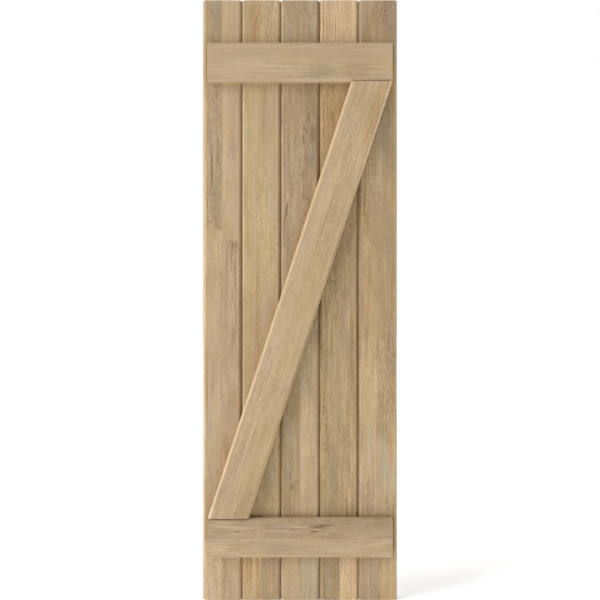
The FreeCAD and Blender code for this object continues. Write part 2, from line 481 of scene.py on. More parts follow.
def make_wander():
    """Lines = (across + wander * noise, along, depth). Ragged = the same, with along + creep * noise."""
    inputs = {"Grain": "Vector", "Shift": "Float"}
    group, given, result = start_group("wandering_grain", inputs, {"Lines": "Vector", "Ragged": "Vector"})
    away = add(group, "CombineXYZ", {2: given["Shift"]}).outputs[0]
    moved = vectors(group, "ADD", given["Grain"], away)

    def sway(waves, amount):
        """Noise about zero, of the given amount."""
        noise = add(group, "TexNoise", {"Vector": vectors(group, "MULTIPLY", moved, waves), "Scale": 1.0})
        return sums(group, "MULTIPLY_ADD", noise.outputs["Fac"], amount, -amount / 2)

    aside = add(group, "CombineXYZ", {0: sway(SLOW_WAVES, WANDER)}).outputs[0]
    lines = vectors(group, "ADD", given["Grain"], aside)
    pushed = {0: sway(BUNDLE_WAVES, WANDER), 1: sway(FIBRE_WAVES, CREEP)}
    fibres = add(group, "CombineXYZ", pushed).outputs[0]
    group.links.new(lines, result["Lines"])
    group.links.new(vectors(group, "ADD", lines, fibres), result["Ragged"])
    return group


wandering_grain = make_wander()
print("grain wanders by up to", WANDER / 2, "m to each side")

# %% [markdown]
# Wood shows its figure at several sizes: slow drifts of hue, mottling a hand long, bands a finger wide, fine
# growth lines, fibres, and pores as short dark dashes. All of them are noise that is stretched along the
# grain. Blender's Wave texture draws growth lines too, but it repeats, and wood never does.

# %% The figure of the wood
FIGURE = {
    # waves a metre across and along the grain, and how many octaves of finer noise
    "Drift": (24, 4.0, 2),
    "Hue": (48, 11.0, 2),
    "Mottle": (45, 13.0, 3),
    "Bands": (170, 5.0, 2),
    "Flecks": (210, 36.0, 2),
    "Lines": (480, 7.0, 1),
    "Fibre": (420, 130.0, 2),
    "Pores": (900, 30.0, 1),
    "Calm": (18, 4.0, 1),
}
FINER_SHARE = 0.6


def make_figure():
    """One noise for each name in FIGURE, read at (across, along, depth + shift) times its waves a metre."""
    inputs = {"Grain": "Vector", "Shift": "Float"}
    group, given, result = start_group("wood_figure", inputs, dict.fromkeys(FIGURE, "Float"))
    away = add(group, "CombineXYZ", {2: given["Shift"]}).outputs[0]
    moved = vectors(group, "ADD", given["Grain"], away)
    for name, (across, along, octaves) in FIGURE.items():
        stretched = vectors(group, "MULTIPLY", moved, (across, along, across))
        sockets = {"Vector": stretched, "Scale": 1.0, "Detail": octaves, "Roughness": FINER_SHARE}
        group.links.new(add(group, "TexNoise", sockets).outputs["Fac"], result[name])
    return group


wood_figure = make_figure()
print("figure layers:", list(FIGURE))

# %% [markdown]
# Timber like this is glued up from narrower staves, each of its own tone, with finger joints from end to
# end. Within a stave there are streaks, lines and a few knots. All need a mask: a sharp box for a stave, a
# soft oval for the rest. One group makes both, and also the hair line of glue where staves meet.

# %% Masks for staves and streaks
SEAM = 0.0004
OVAL_EDGE = 1.1
OVAL_CORE = 0.3


def make_mask():
    """Oval fades from 1 in its core to 0 at its edge, both in half sizes from the middle. Box is 1 where the
    distance is below half size both ways. Before that, across loses lean * along, so that a mask can lean."""
    inputs = {"Grain": "Vector", "Middle": "Vector", "Half": "Vector", "Lean": "Float"}
    group, given, result = start_group("place_mask", inputs, dict.fromkeys(["Oval", "Box", "Seam"], "Float"))
    offset = vectors(group, "SUBTRACT", given["Grain"], given["Middle"])
    aside = sums(group, "MULTIPLY", add(group, "SeparateXYZ", {0: offset}).outputs[1], given["Lean"])
    upright = vectors(group, "SUBTRACT", offset, add(group, "CombineXYZ", {0: aside}).outputs[0])
    away = vectors(group, "ABSOLUTE", upright)
    ratio = vectors(group, "DIVIDE", away, given["Half"])
    distance = add(group, "VectorMath", {0: ratio}, operation="LENGTH").outputs["Value"]
    past = add(group, "SeparateXYZ", {0: vectors(group, "SUBTRACT", away, given["Half"])}).outputs
    nearest = sums(group, "MAXIMUM", past[0], past[1])
    group.links.new(ramp(group, distance, OVAL_EDGE, OVAL_CORE, course="SMOOTHSTEP"), result["Oval"])
    group.links.new(sums(group, "LESS_THAN", nearest, 0.0), result["Box"])
    group.links.new(sums(group, "COMPARE", nearest, 0.0, SEAM), result["Seam"])
    return group


place_mask = make_mask()
print("a line of glue is", 2 * SEAM, "m wide")

# %% [markdown]
# The boards are painted a shade darker along the battens and the brace, as shade in the inside corners. How
# far a point is from them can be worked out from Object coordinates, because every piece sits at the origin.
# Blender has an Ambient Occlusion node for this, but it is slow, and an exported model would lose it.

# %% Painted shade along the battens and the brace
# painted shade: the boards are darkened near the battens and the brace, where their shade falls
PAINTED_SHADE_REACH = 0.02


def make_painted_corner_shade():
    """Painted shade = e^(-d / reach) on the front half of the boards. To the battens d = ||z| - middle| -
    half, to the brace |x cos - z sin| - half."""
    group, _, result = start_group("painted_corner_shade", {}, {"PaintedShade": "Float"})
    spot = add(group, "SeparateXYZ", {0: add(group, "TexCoord", {}).outputs["Object"]}).outputs
    height = sums(group, "ABSOLUTE", spot["Z"])
    to_batten = sums(group, "ABSOLUTE", sums(group, "SUBTRACT", height, BATTEN_MIDDLE))
    slant = sums(group, "MULTIPLY", spot["Z"], -math.sin(BRACE_LEAN))
    to_brace = sums(group, "ABSOLUTE", sums(group, "MULTIPLY_ADD", spot["X"], math.cos(BRACE_LEAN), slant))
    nearest = sums(group, "SUBTRACT", sums(group, "MINIMUM", to_batten, to_brace), BATTEN_WIDTH / 2)
    fall = sums(group, "DIVIDE", sums(group, "MAXIMUM", nearest, 0.0), -PAINTED_SHADE_REACH)
    front = sums(group, "LESS_THAN", spot["Y"], -BOARD_THICKNESS / 2)
    group.links.new(sums(group, "MULTIPLY", sums(group, "EXPONENT", fall), front), result["PaintedShade"])
    return group


painted_corner_shade = make_painted_corner_shade()
print("dust fades over", PAINTED_SHADE_REACH, "m")

# %% [markdown]
# The tones are written as they look on a screen, 0 to 255, and turned into the linear values Blender works
# with. A joiner would know most of them: cream, pale and peach sapwood, straw, honey and fern where the tree
# grew fast, amber and clay in the heartwood, mist, moss and slate where minerals have stained it, resin, a
# dark brown that also paints the shade down the V-joints, and bark for knots and dark lines.

# %% The tones
TONES = {
    "cream": (214, 189, 157),
    "pale": (207, 177, 139),
    "peach": (193, 167, 133),
    "tan": (187, 163, 131),
    "rose": (186, 159, 128),
    "straw": (192, 167, 127),
    "honey": (191, 161, 117),
    "fern": (186, 165, 119),
    "clay": (180, 148, 115),
    "fawn": (180, 153, 116),
    "amber": (174, 145, 106),
    "olive": (173, 149, 112),
    "mist": (187, 172, 142),
    "moss": (180, 163, 132),
    "drab": (177, 153, 122),
    "umber": (161, 138, 108),
    "slate": (161, 145, 118),
    "resin": (120, 88, 55),
    "bark": (115, 93, 70),
}


def linear(tone):
    """Screen value s to linear light, ((s + 0.055) / 1.055)^2.4, with full opacity."""
    share = np.array(TONES[tone]) / 255
    return (*(((share + 0.055) / 1.055) ** 2.4).tolist(), 1.0)


print("tan in linear light:", np.round(linear("tan"), 3))

# %% [markdown]
# Now the finish of one timber, in steps. The first is to find a place on it. Places are written in
# millimetres, as on a cutting list: across from the left edge and along from the foot, or on a batten across
# from the upper edge and along from the left end. A place with its half width and half length is a spot.

# %% A place on a timber
MILLIMETRE = 0.001
Wood = namedtuple("Wood", "tree grain width length")


def start_wood(name, width, length):
    """A new material, and what the steps need to know: its node tree, its grain and the timber's size."""
    material = bpy.data.materials.new(name)
    material.use_nodes = True
    grain = add(material.node_tree, "Attribute", {}, attribute_name=GRAIN).outputs["Vector"]
    return material, Wood(material.node_tree, grain, width, length)


def middle_of(wood, across, along):
    """A place in metres from the middle of the timber, as the grain attribute counts."""
    return (across * MILLIMETRE - wood.width / 2, along * MILLIMETRE - wood.length / 2, 0)


def mask(wood, spot, where, lean=0.0):
    """The masks of one spot: across, along, half width and half length."""
    across, along, half_width, half_length = spot
    half = (half_width * MILLIMETRE, half_length * MILLIMETRE, 1)
    sockets = {"Grain": where, "Middle": middle_of(wood, across, along), "Half": half, "Lean": lean}
    return add(wood.tree, "Group", sockets, node_tree=place_mask).outputs


bare_board = Wood(None, None, BOARD_WIDTH, BOARD_LENGTH)
print("the left corner of a board's foot, as its grain counts:", middle_of(bare_board, 0, 0))

# %% [markdown]
# Staves come first. Each has a tone of its own, and its vigour says how strongly its grain shows. A stave
# comes from another tree than its neighbour, so it also gets its own shift into the noise. Where two staves
# meet end to end, a zigzag along the grain makes the teeth of the finger joint.

# %% Glue up the staves
TOOTH_WIDTH = 0.002
TOOTH_LENGTH = 0.009
STAVE_SHIFT = 1.7
SHIFT_BY_LEFT = 0.013
SHIFT_BY_LOW = 0.007


def glue_staves(wood, tone, vigour, shift, staves):
    """Inside the box of each stave, colour and vigour become the stave's and the shift grows. Seams join up.
    A stave is its left, right, low and high edge, its tone and its vigour. Later ones cover earlier ones."""
    tree, colour, seam = wood.tree, linear(tone), 0.0
    sideways = add(tree, "SeparateXYZ", {0: wood.grain}).outputs[0]
    saw = sums(tree, "PINGPONG", sideways, TOOTH_WIDTH)
    zigzag = sums(tree, "MULTIPLY", saw, TOOTH_LENGTH / TOOTH_WIDTH)
    toothed = vectors(tree, "ADD", wood.grain, add(tree, "CombineXYZ", {1: zigzag}).outputs[0])
    for left, right, low, high, stave_tone, stave_vigour in staves:
        spot = ((left + right) / 2, (low + high) / 2, (right - left) / 2, (high - low) / 2)
        stave = mask(wood, spot, toothed)
        colour = blend(tree, stave["Box"], colour, linear(stave_tone))
        vigour = choose(tree, stave["Box"], vigour, stave_vigour)
        seam = sums(tree, "MAXIMUM", stave["Seam"], seam)
        further = STAVE_SHIFT + SHIFT_BY_LEFT * left + SHIFT_BY_LOW * low
        shift = sums(tree, "MULTIPLY_ADD", stave["Box"], further, shift)
    return colour, vigour, shift, seam


print("finger joints have teeth", TOOTH_LENGTH, "m long")

# %% [markdown]
# Then come the marks. Round a knot the grain is pulled aside, which is done by bending the coordinates that
# all later noise is read in. Streaks blend in their tone where the growth lines let them, so they break up
# into fibres. Lines are thin dark strokes, such as resin or the start of a branch, and may lean. The heart
# of a knot is painted last, in straight coordinates, so that it stays where it was put.

# %% Knots, streaks and lines
KNOT_REACH = 3
KNOT_PULL = (0.8, 0, 0)
HEART_STRENGTH = 0.85
PATCHY_GAIN = 2.4
PATCHY_START = -0.3


def bend_round_knots(wood, knots):
    """Each point near a knot is read nearer to it: grain + pull * (knot - grain) * oval."""
    tree, bent = wood.tree, wood.grain
    for across, along, half_width, half_length in knots:
        reach = mask(wood, (across, along, KNOT_REACH * half_width, KNOT_REACH * half_length), wood.grain)
        towards = vectors(tree, "SUBTRACT", middle_of(wood, across, along), wood.grain)
        pull = vectors(tree, "MULTIPLY", vectors(tree, "MULTIPLY", towards, KNOT_PULL), reach["Oval"])
        bent = vectors(tree, "ADD", bent, pull)
    return bent


def paint_marks(wood, colour, wander, growth, streaks, lines, knots):
    """A streak is a spot, tone and amount, a line a spot, lean and amount, and a knot only a spot."""
    tree = wood.tree
    patchy = sums(tree, "MULTIPLY_ADD", growth, PATCHY_GAIN, PATCHY_START)
    for *spot, tone, amount in streaks:
        strength = sums(tree, "MULTIPLY", mask(wood, spot, wander["Ragged"])["Oval"], amount)
        share = add(tree, "Math", {0: strength, 1: patchy}, operation="MULTIPLY", use_clamp=True).outputs[0]
        colour = blend(tree, share, colour, linear(tone))
    for *spot, lean, amount in lines:
        strength = sums(tree, "MULTIPLY", mask(wood, spot, wander["Lines"], lean)["Oval"], amount)
        colour = blend(tree, strength, colour, linear("bark"))
    for spot in knots:
        strength = sums(tree, "MULTIPLY", mask(wood, spot, wood.grain)["Oval"], HEART_STRENGTH)
        colour = blend(tree, strength, colour, linear("bark"))
    return colour


print("grain bends within", KNOT_REACH, "times a knot's size")

# %% [markdown]
# The figure then makes all of it lighter and darker, and a little redder, greener or bluer. Contrast is
# stronger in some places than in others, as on real boards, so a slow noise says how lively each place is.
# Dark wood is also less blue than light wood, so light and dark swing further in blue than in red.

# %% Light and dark of the grain
CONTRAST = {"Bands": 0.35, "Flecks": 0.35, "Lines": 0.6, "Fibre": 0.6}
PORE_DEPTH = 0.15
PORE_START, PORE_FULL = 0.6, 0.75
CALM_FROM, CALM_TO = 0.35, 0.65
QUIET, LIVELY = 0.4, 1.5
MOTTLE = 0.45
DRIFT = 0.25
SEAM_DEPTH = 0.2
HUE_TINT = (0.1, 0.0, -0.35)
DRIFT_TINT = (-0.08, 0.05, -0.04)
SWING_TINT = (0.9, 1.0, 1.3)


def about_zero(tree, layer):
    """Noise lies about a half. This brings it about zero."""
    return sums(tree, "SUBTRACT", layer, 0.5)


def tinted(tree, colour, amount, tint):
    """colour * (1 + amount * tint), in red, green and blue."""
    return vectors(tree, "MULTIPLY", colour, vectors(tree, "MULTIPLY_ADD", amount, tint, (1, 1, 1)))


def grain_swing(tree, figure, pores, vigour):
    """((layers * contrast - pores) * lively + mottle) * vigour + drift."""
    swing = 0.0
    for layer, contrast in CONTRAST.items():
        swing = sums(tree, "MULTIPLY_ADD", about_zero(tree, figure[layer]), contrast, swing)
    swing = sums(tree, "MULTIPLY_ADD", pores, -PORE_DEPTH, swing)
    swing = sums(tree, "MULTIPLY", swing, ramp(tree, figure["Calm"], CALM_FROM, CALM_TO, QUIET, LIVELY))
    swing = sums(tree, "MULTIPLY_ADD", about_zero(tree, figure["Mottle"]), MOTTLE, swing)
    swing = sums(tree, "MULTIPLY", swing, vigour)
    return sums(tree, "MULTIPLY_ADD", about_zero(tree, figure["Drift"]), DRIFT, swing)


def shade_grain(tree, colour, figure, pores, vigour, seam, painted_shade):
    """Tints the colour by hue and drift, then by the swing less painted corner shade and seams."""
    colour = tinted(tree, colour, about_zero(tree, figure["Hue"]), HUE_TINT)
    colour = tinted(tree, colour, about_zero(tree, figure["Drift"]), DRIFT_TINT)
    swing = grain_swing(tree, figure, pores, vigour)
    # painted shade in the corners along the battens and the brace
    if painted_shade:
        shade_near_corners = add(tree, "Group", {}, node_tree=painted_corner_shade).outputs["PaintedShade"]
        swing = sums(tree, "MULTIPLY_ADD", shade_near_corners, -painted_shade, swing)
    swing = sums(tree, "MULTIPLY_ADD", seam, -SEAM_DEPTH, swing)
    return tinted(tree, colour, swing, SWING_TINT)


print("contrast of the figure:", CONTRAST)

# %% [markdown]
# The sawn ends are darker, because open pores swallow light, and they show growth rings round a heart
# somewhere behind the board. The rings are a sine of the distance from that heart.

# %% The sawn ends
RING_WIDTH = 0.0028
TREE_HEART = (0.01, 0, 0.05)
RING_DEPTH = 0.07
END_SHADE = 0.62


def sawn_shade(wood):
    """1 on planed faces, and on a sawn end shade + depth * sin(2 pi distance / ring width)."""
    tree = wood.tree
    sawn = add(tree, "Attribute", {}, attribute_name=SAWN_END).outputs["Fac"]
    on_end = vectors(tree, "MULTIPLY", wood.grain, (1, 0, 1))
    away = add(tree, "VectorMath", {0: on_end, 1: TREE_HEART}, operation="DISTANCE").outputs["Value"]
    rings = sums(tree, "SINE", sums(tree, "MULTIPLY", away, 2 * math.pi / RING_WIDTH))
    return choose(tree, sawn, 1.0, sums(tree, "MULTIPLY_ADD", rings, RING_DEPTH, END_SHADE))


print("growth rings are", RING_WIDTH, "m wide")

# %% [markdown]
# Put together, these steps are the finish of a timber. Growth lines also set how rough it is and, with fibres
# and pores, make a fine bump, so that light from the side catches the planed grain. One function serves all
# eight timbers, and the letters of a name give each its own place in the noise.

# %% A timber's finish
NAME_SHIFT = 0.37
WOOD_SPECULAR = 0.25
SMOOTHEST, ROUGHER = 0.42, 0.3
FIBRE_HEIGHT = 0.5
BUMP = {"Strength": 0.3, "Distance": 0.0003}


def timber_finish(name, width, length, tone, streaks, staves=(), knots=(), lines=(), vigour=1.0, painted_shade=0.0):
    """The material of one timber, from its tone and its marks. Vigour is the strength of its grain, and
    painted shade says how much darker the corners along the battens and the brace are painted, as shade."""
    material, wood = start_wood(name, width, length)
    tree = wood.tree
    shift = sum(map(ord, name)) * NAME_SHIFT
    colour, vigour, shift, seam = glue_staves(wood, tone, vigour, shift, staves)
    bent = bend_round_knots(wood, knots)
    wander = add(tree, "Group", {"Grain": bent, "Shift": shift}, node_tree=wandering_grain).outputs
    figure = add(tree, "Group", {"Grain": wander["Lines"], "Shift": shift}, node_tree=wood_figure).outputs
    pores = ramp(tree, figure["Pores"], PORE_START, PORE_FULL)
    colour = paint_marks(wood, colour, wander, figure["Lines"], streaks, lines, knots)
    colour = shade_grain(tree, colour, figure, pores, vigour, seam, painted_shade)
    colour = vectors(tree, "MULTIPLY", colour, sawn_shade(wood))
    rough = sums(tree, "MULTIPLY_ADD", figure["Lines"], ROUGHER, SMOOTHEST)
    dents = sums(tree, "SUBTRACT", figure["Lines"], pores)
    height = sums(tree, "MULTIPLY_ADD", figure["Fibre"], FIBRE_HEIGHT, dents)
    shader = tree.nodes["Principled BSDF"]
    shader.inputs["Specular IOR Level"].default_value = WOOD_SPECULAR
    tree.links.new(colour, shader.inputs["Base Color"])
    tree.links.new(rough, shader.inputs["Roughness"])
    tree.links.new(add(tree, "Bump", {**BUMP, "Height": height}).outputs["Normal"], shader.inputs["Normal"])
    return material


print("roughness of the wood:", SMOOTHEST, "to", SMOOTHEST + ROUGHER)

# %% [markdown]
# What follows is listed for each timber: the tone of its wood, staves of another tone, streaks,
# lines and knots. Joints from stave to stave mostly hide under a batten, as a joiner would arrange them. A
# stave that reaches an edge or an end is written a little longer than the timber. Down the right-hand
# chamfer of a board, where it runs into a V-joint, a browner tone is painted on as the shade of that flank.

# %% How a board is finished
FOOT, HEAD = -20, 1400
LEFT, RIGHT = -20, 110
# strength of the painted shade on the boards along the battens and the brace
BOARD_PAINTED_SHADE = 0.1
# painted shade: a dark brown streak down the right chamfer, the shaded flank of each V-joint
PAINTED_JOINT_SHADE = (BOARD_WIDTH / MILLIMETRE - 2, 690, 5, 760, "resin", 0.4)


def finish_board(number, streaks, **looks):
    """Gives a board its finish, with painted shade along its right edge where another board follows."""
    if number < BOARD_COUNT:
        streaks = [*streaks, PAINTED_JOINT_SHADE]
    name = f"board_{number}_wood"
    finish = timber_finish(name, BOARD_WIDTH, BOARD_LENGTH, streaks=streaks, painted_shade=BOARD_PAINTED_SHADE, **looks)
    boards[number - 1].data.materials.append(finish)
    print(f"{name}: {len(streaks)} streaks, {len(finish.node_tree.nodes)} nodes")


# where the painted shade of the V-joint lies
print("joint resin lies", round(PAINTED_JOINT_SHADE[0], 1), "mm from the left edge of a board")

# %% [markdown]
# The first board is two staves wide. The left one changes at a finger joint above the middle, from greyish
# wood to peach, and the right one has a bundle of dark lines just below that height. The outermost three
# millimetres, the rounded edge that turns away from the light, are painted darker as shade.

# %% Board 1
finish_board(
    1,
    tone="rose",
    vigour=1.15,
    staves=[
        (LEFT, 43, 852, HEAD, "drab", 1.25),
        (LEFT, 43, FOOT, 852, "peach", 0.85),
        (43, RIGHT, 820, HEAD, "peach", 0.5),
        (LEFT, 43, FOOT, 140, "cream", 0.85),
        (43, RIGHT, FOOT, 165, "peach", 0.75),
        # the two thin staves at the left edge are painted shade on the rounded outer arris
        (LEFT, 3, 852, HEAD, "umber", 1.0),
        (LEFT, 3, FOOT, 852, "drab", 1.0),
    ],
    streaks=[
        (5, 980, 5, 200, "pale", 0.6),
        (9, 690, 4, 760, "honey", 0.5),
        (33, 1330, 13, 90, "slate", 0.8),
        (14, 1290, 9, 50, "moss", 0.6),
        (34, 980, 8, 130, "slate", 0.5),
        (28, 905, 20, 70, "umber", 0.6),
        (69, 1060, 12, 80, "rose", 0.8),
        (64, 800, 4, 50, "umber", 0.8),
        (54, 770, 3, 90, "umber", 0.6),
        (75, 750, 3, 70, "umber", 0.6),
        (70, 650, 12, 34, "cream", 0.3),
        (70, 470, 12, 40, "umber", 0.4),
        (53, 355, 9, 45, "clay", 0.9),
        (20, 310, 32, 240, "tan", 1.0),
        (43, 30, 1.5, 45, "pale", 0.9),
        (66, 50, 26, 90, "cream", 0.25),
    ],
    lines=[
        (25, 1338, 4.5, 22, -0.5, 0.3),
        (29, 1325, 1.3, 40, 0.1, 0.35),
        (36, 1340, 1.3, 30, 0.0, 0.35),
        (40, 1308, 1.3, 36, 0.0, 0.3),
        (20, 988, 2.2, 58, 0.0, 0.8),
        (61, 815, 1.6, 13, 0.0, 0.5),
        (68, 812, 1.7, 15, 0.0, 0.75),
        (73, 808, 1.7, 20, 0.0, 0.75),
        (78, 815, 1.6, 13, 0.0, 0.55),
        (56, 785, 1.5, 45, 0.0, 0.5),
        (66, 782, 1.5, 45, 0.0, 0.45),
        (67, 690, 1.3, 24, 0.0, 0.4),
        (71, 605, 1.4, 32, 0.0, 0.55),
        (58, 610, 1.2, 45, 0.0, 0.3),
        (64, 565, 1.2, 40, 0.0, 0.3),
        (79, 640, 1.2, 30, 0.0, 0.35),
    ],
)

# %% [markdown]
# The second board is the yellowest. A broad tan streak fills the right of its upper half, two leaning strokes
# mark its head, and from the bottom batten down it is two staves, honey and drab.

# %% Board 2
finish_board(
    2,
    tone="straw",
    vigour=1.0,
    staves=[(LEFT, 44, FOOT, 128, "honey", 1.3), (44, RIGHT, FOOT, 172, "drab", 0.7)],
    streaks=[
        (68, 1080, 26, 280, "tan", 0.8),
        (70, 1330, 20, 100, "rose", 0.8),
        (16, 1000, 8, 220, "fern", 0.7),
        (30, 1328, 20, 90, "amber", 1.0),
        (50, 1120, 6, 65, "olive", 0.9),
        (15, 820, 6, 65, "honey", 0.9),
        (64, 665, 20, 85, "rose", 0.9),
        (38, 700, 9, 110, "amber", 0.6),
        (20, 600, 34, 150, "amber", 0.55),
        (62, 275, 34, 140, "olive", 0.9),
        (70, 290, 12, 36, "moss", 0.9),
        (42, 60, 1.5, 90, "pale", 0.8),
        (66, 45, 8, 45, "honey", 0.7),
        (20, 45, 24, 80, "pale", 0.4),
    ],
    lines=[(37, 1336, 2.0, 34, 0.28, 0.5), (30, 1312, 1.8, 24, 0.2, 0.4)],
)

# %% [markdown]
# The third board's upper right stave is the liveliest of all. Dark strokes fan out there where a branch
# began, with grey wood below them. Low on the left is the soft brown smudge of another one.

# %% Board 3
finish_board(
    3,
    tone="drab",
    vigour=0.85,
    staves=[
        (LEFT, 44, 150, 620, "olive", 0.9),
        (44, RIGHT, 165, 590, "peach", 0.9),
        (44, RIGHT, 590, HEAD, "drab", 1.7),
        (LEFT, 45, FOOT, 150, "peach", 0.65),
        (45, RIGHT, FOOT, 165, "mist", 0.85),
    ],
    streaks=[
        (20, 1110, 24, 170, "olive", 0.5),
        (16, 915, 11, 50, "tan", 0.6),
        (66, 1080, 26, 170, "umber", 0.75),
        (52, 1070, 9, 34, "umber", 0.4),
        (68, 1330, 18, 100, "moss", 0.7),
        (71, 1020, 16, 40, "slate", 1.0),
        (60, 1080, 12, 26, "umber", 0.7),
        (22, 400, 24, 170, "drab", 0.6),
        (30, 895, 7, 45, "tan", 0.7),
        (53, 410, 10, 40, "cream", 0.4),
        (15, 290, 11, 36, "slate", 0.6),
        (64, 540, 26, 110, "moss", 0.8),
        (12, 300, 3, 45, "umber", 0.6),
        (42, 305, 3, 35, "umber", 0.5),
        (25, 205, 22, 50, "rose", 0.8),
        (48, 40, 3, 110, "straw", 0.7),
        (42, 85, 5, 20, "clay", 0.8),
    ],
    lines=[
        (47, 1346, 1.5, 13, 0.0, 0.5),
        (55, 1347, 1.5, 11, 0.0, 0.4),
        (63, 1338, 1.5, 13, -0.2, 0.5),
        (67, 1332, 1.5, 11, -0.2, 0.5),
        (65, 1299, 1.6, 26, 0.0, 0.8),
        (65, 1102, 3.0, 16, 0.0, 0.7),
        (57, 1075, 4.0, 14, -0.5, 0.6),
        (71, 1074, 4.5, 20, 0.1, 0.5),
        (74, 1062, 12, 22, 0.2, 0.4),
        (52, 1053, 3.0, 14, 0.0, 0.6),
        (15, 894, 2.2, 28, 0.13, 0.95),
        (8, 850, 1.2, 40, 0.05, 0.4),
        (24, 925, 1.2, 40, 0.0, 0.35),
        (19, 810, 1.2, 36, 0.03, 0.4),
        (56, 938, 1.5, 30, 0.0, 0.35),
        (27, 257, 7, 9, 0.0, 0.5),
        (35, 270, 10, 5, 0.0, 0.25),
        (21, 283, 5, 17, -0.2, 0.3),
    ],
)

# %% [markdown]
# The fourth board's wood has strong grain. Its head is a pale stave in which the saw met the growth rings
# upright, so they show as fine stripes side by side, and a small helper writes such pinstripes. Below the
# top batten comes an amber stave, then olive wood, down to two short staves at its foot.

# %% Board 4
STRIPE_HALF_WIDTH = 1.5


def pinstripes(left, right, count, along, half_length, tone, amount):
    """Thin streaks at even distances from left to right."""
    places = np.linspace(left, right, count)
    return [(across, along, STRIPE_HALF_WIDTH, half_length, tone, amount) for across in places]


finish_board(
    4,
    tone="olive",
    vigour=1.35,
    staves=[
        (LEFT, RIGHT, 1212, HEAD, "pale", 0.95),
        (LEFT, RIGHT, 960, 1212, "amber", 1.05),
        (LEFT, 45, FOOT, 138, "olive", 0.8),
        (45, RIGHT, FOOT, 180, "pale", 1.05),
    ],
    streaks=[
        *pinstripes(3, 38, 6, 1320, 70, "amber", 0.8),
        *pinstripes(54, 82, 4, 1320, 60, "clay", 0.5),
        (2, 560, 5, 600, "umber", 0.6),
        (66, 815, 8, 18, "bark", 0.5),
        (64, 640, 6, 65, "peach", 0.7),
        (53, 620, 10, 75, "umber", 0.7),
        (35, 470, 9, 36, "umber", 0.3),
        (58, 490, 6, 95, "straw", 0.3),
        (53, 410, 9, 34, "mist", 0.5),
        (44, 450, 6, 120, "slate", 0.4),
        (15, 430, 8, 80, "honey", 0.9),
        (77, 300, 6, 85, "honey", 0.8),
        (33, 290, 10, 95, "slate", 0.5),
        (60, 285, 9, 50, "rose", 0.8),
        (20, 70, 24, 90, "slate", 0.5),
        (45, 1090, 50, 140, "honey", 0.35),
        (18, 275, 10, 60, "straw", 0.6),
        (17, 350, 10, 32, "umber", 0.5),
        (62, 228, 22, 40, "honey", 0.8),
        (48, 400, 40, 160, "straw", 0.3),
        (44, 60, 2, 100, "bark", 0.4),
        (48, 60, 1.5, 90, "pale", 1.0),
        (54, 55, 8, 60, "cream", 0.4),
    ],
)

# %% [markdown]
# The fifth board is drab at its head and grey beside the brace. Further down, straw on the left and umber on
# the right part it lengthwise, before it gets paler above the bottom batten. Its outer edge is grey.

# %% Board 5
finish_board(
    5,
    tone="fawn",
    vigour=1.2,
    staves=[
        (LEFT, RIGHT, 1240, HEAD, "drab", 1.05),
        (LEFT, 46, FOOT, 155, "drab", 1.0),
        (52, RIGHT, FOOT, 120, "honey", 0.75),
        (86, RIGHT, FOOT, HEAD, "slate", 1.0),
    ],
    streaks=[
        (28, 1320, 8, 60, "amber", 0.6),
        (33, 1296, 6, 16, "honey", 0.9),
        (74, 1330, 14, 120, "slate", 0.7),
        (60, 1085, 24, 110, "slate", 1.0),
        (42, 995, 22, 75, "mist", 0.5),
        (74, 1022, 12, 55, "amber", 1.0),
        (78, 1022, 10, 50, "umber", 0.5),
        (80, 890, 6, 30, "honey", 0.8),
        (69, 807, 9, 110, "slate", 0.8),
        (35, 786, 10, 60, "straw", 1.0),
        (2, 560, 5, 600, "umber", 0.5),
        (16, 712, 12, 40, "honey", 0.7),
        (22, 470, 24, 150, "straw", 1.0),
        (73, 545, 18, 145, "umber", 0.65),
        (15, 770, 11, 150, "honey", 0.5),
        (30, 250, 46, 150, "tan", 1.0),
        (30, 310, 26, 110, "cream", 0.45),
        (58, 320, 13, 110, "mist", 0.9),
        (56, 225, 12, 36, "umber", 0.35),
        (72, 50, 24, 80, "peach", 0.5),
        (20, 50, 24, 80, "tan", 0.5),
        (62, 900, 22, 50, "umber", 0.35),
        (79, 300, 9, 120, "peach", 0.9),
        (79, 810, 5, 420, "resin", 0.2),
    ],
    lines=[
        (31, 1335, 2.0, 26, 0.15, 0.4),
        (19, 1325, 2.0, 28, 0.15, 0.35),
        (60, 905, 1.2, 60, 0.0, 0.3),
        (73, 870, 1.2, 50, 0.0, 0.35),
        (66, 780, 1.2, 60, 0.0, 0.3),
        (82, 770, 1.2, 60, 0.0, 0.35),
        (76, 690, 1.2, 70, 0.0, 0.4),
        (70, 600, 1.2, 50, 0.0, 0.35),
    ],
)

# %% [markdown]
# Battens and brace are of the same wood, but calmer. On a batten, places count from the upper edge and the
# left end. The top batten is the calmest timber, with one greyish and one reddish patch near its lower edge.


# %% The top batten's wood
def finish_strip(strip, name, length, **looks):
    """Gives a batten or the brace its finish."""
    finish = timber_finish(name, BATTEN_WIDTH, length, **looks)
    strip.data.materials.append(finish)
    print(f"{name}: {len(looks['streaks'])} streaks, {len(finish.node_tree.nodes)} nodes")


finish_strip(
    top_batten,
    "top_batten_planed_wood",
    BATTEN_LENGTH,
    tone="tan",
    vigour=0.45,
    streaks=[
        (68, 252, 20, 52, "slate", 0.95),
        (66, 335, 20, 50, "clay", 1.0),
        (64, 340, 20, 50, "umber", 0.35),
        (64, 105, 22, 150, "cream", 0.5),
        (22, 130, 10, 130, "drab", 0.25),
        (26, 300, 8, 90, "drab", 0.25),
        (30, 405, 40, 40, "peach", 0.9),
    ],
)

# %% [markdown]
# The bottom batten is glued from two staves. The upper one is browner and holds the only knot with a clear
# heart, a dark eye that the grain parts round, with a cloud of bark colour above it.

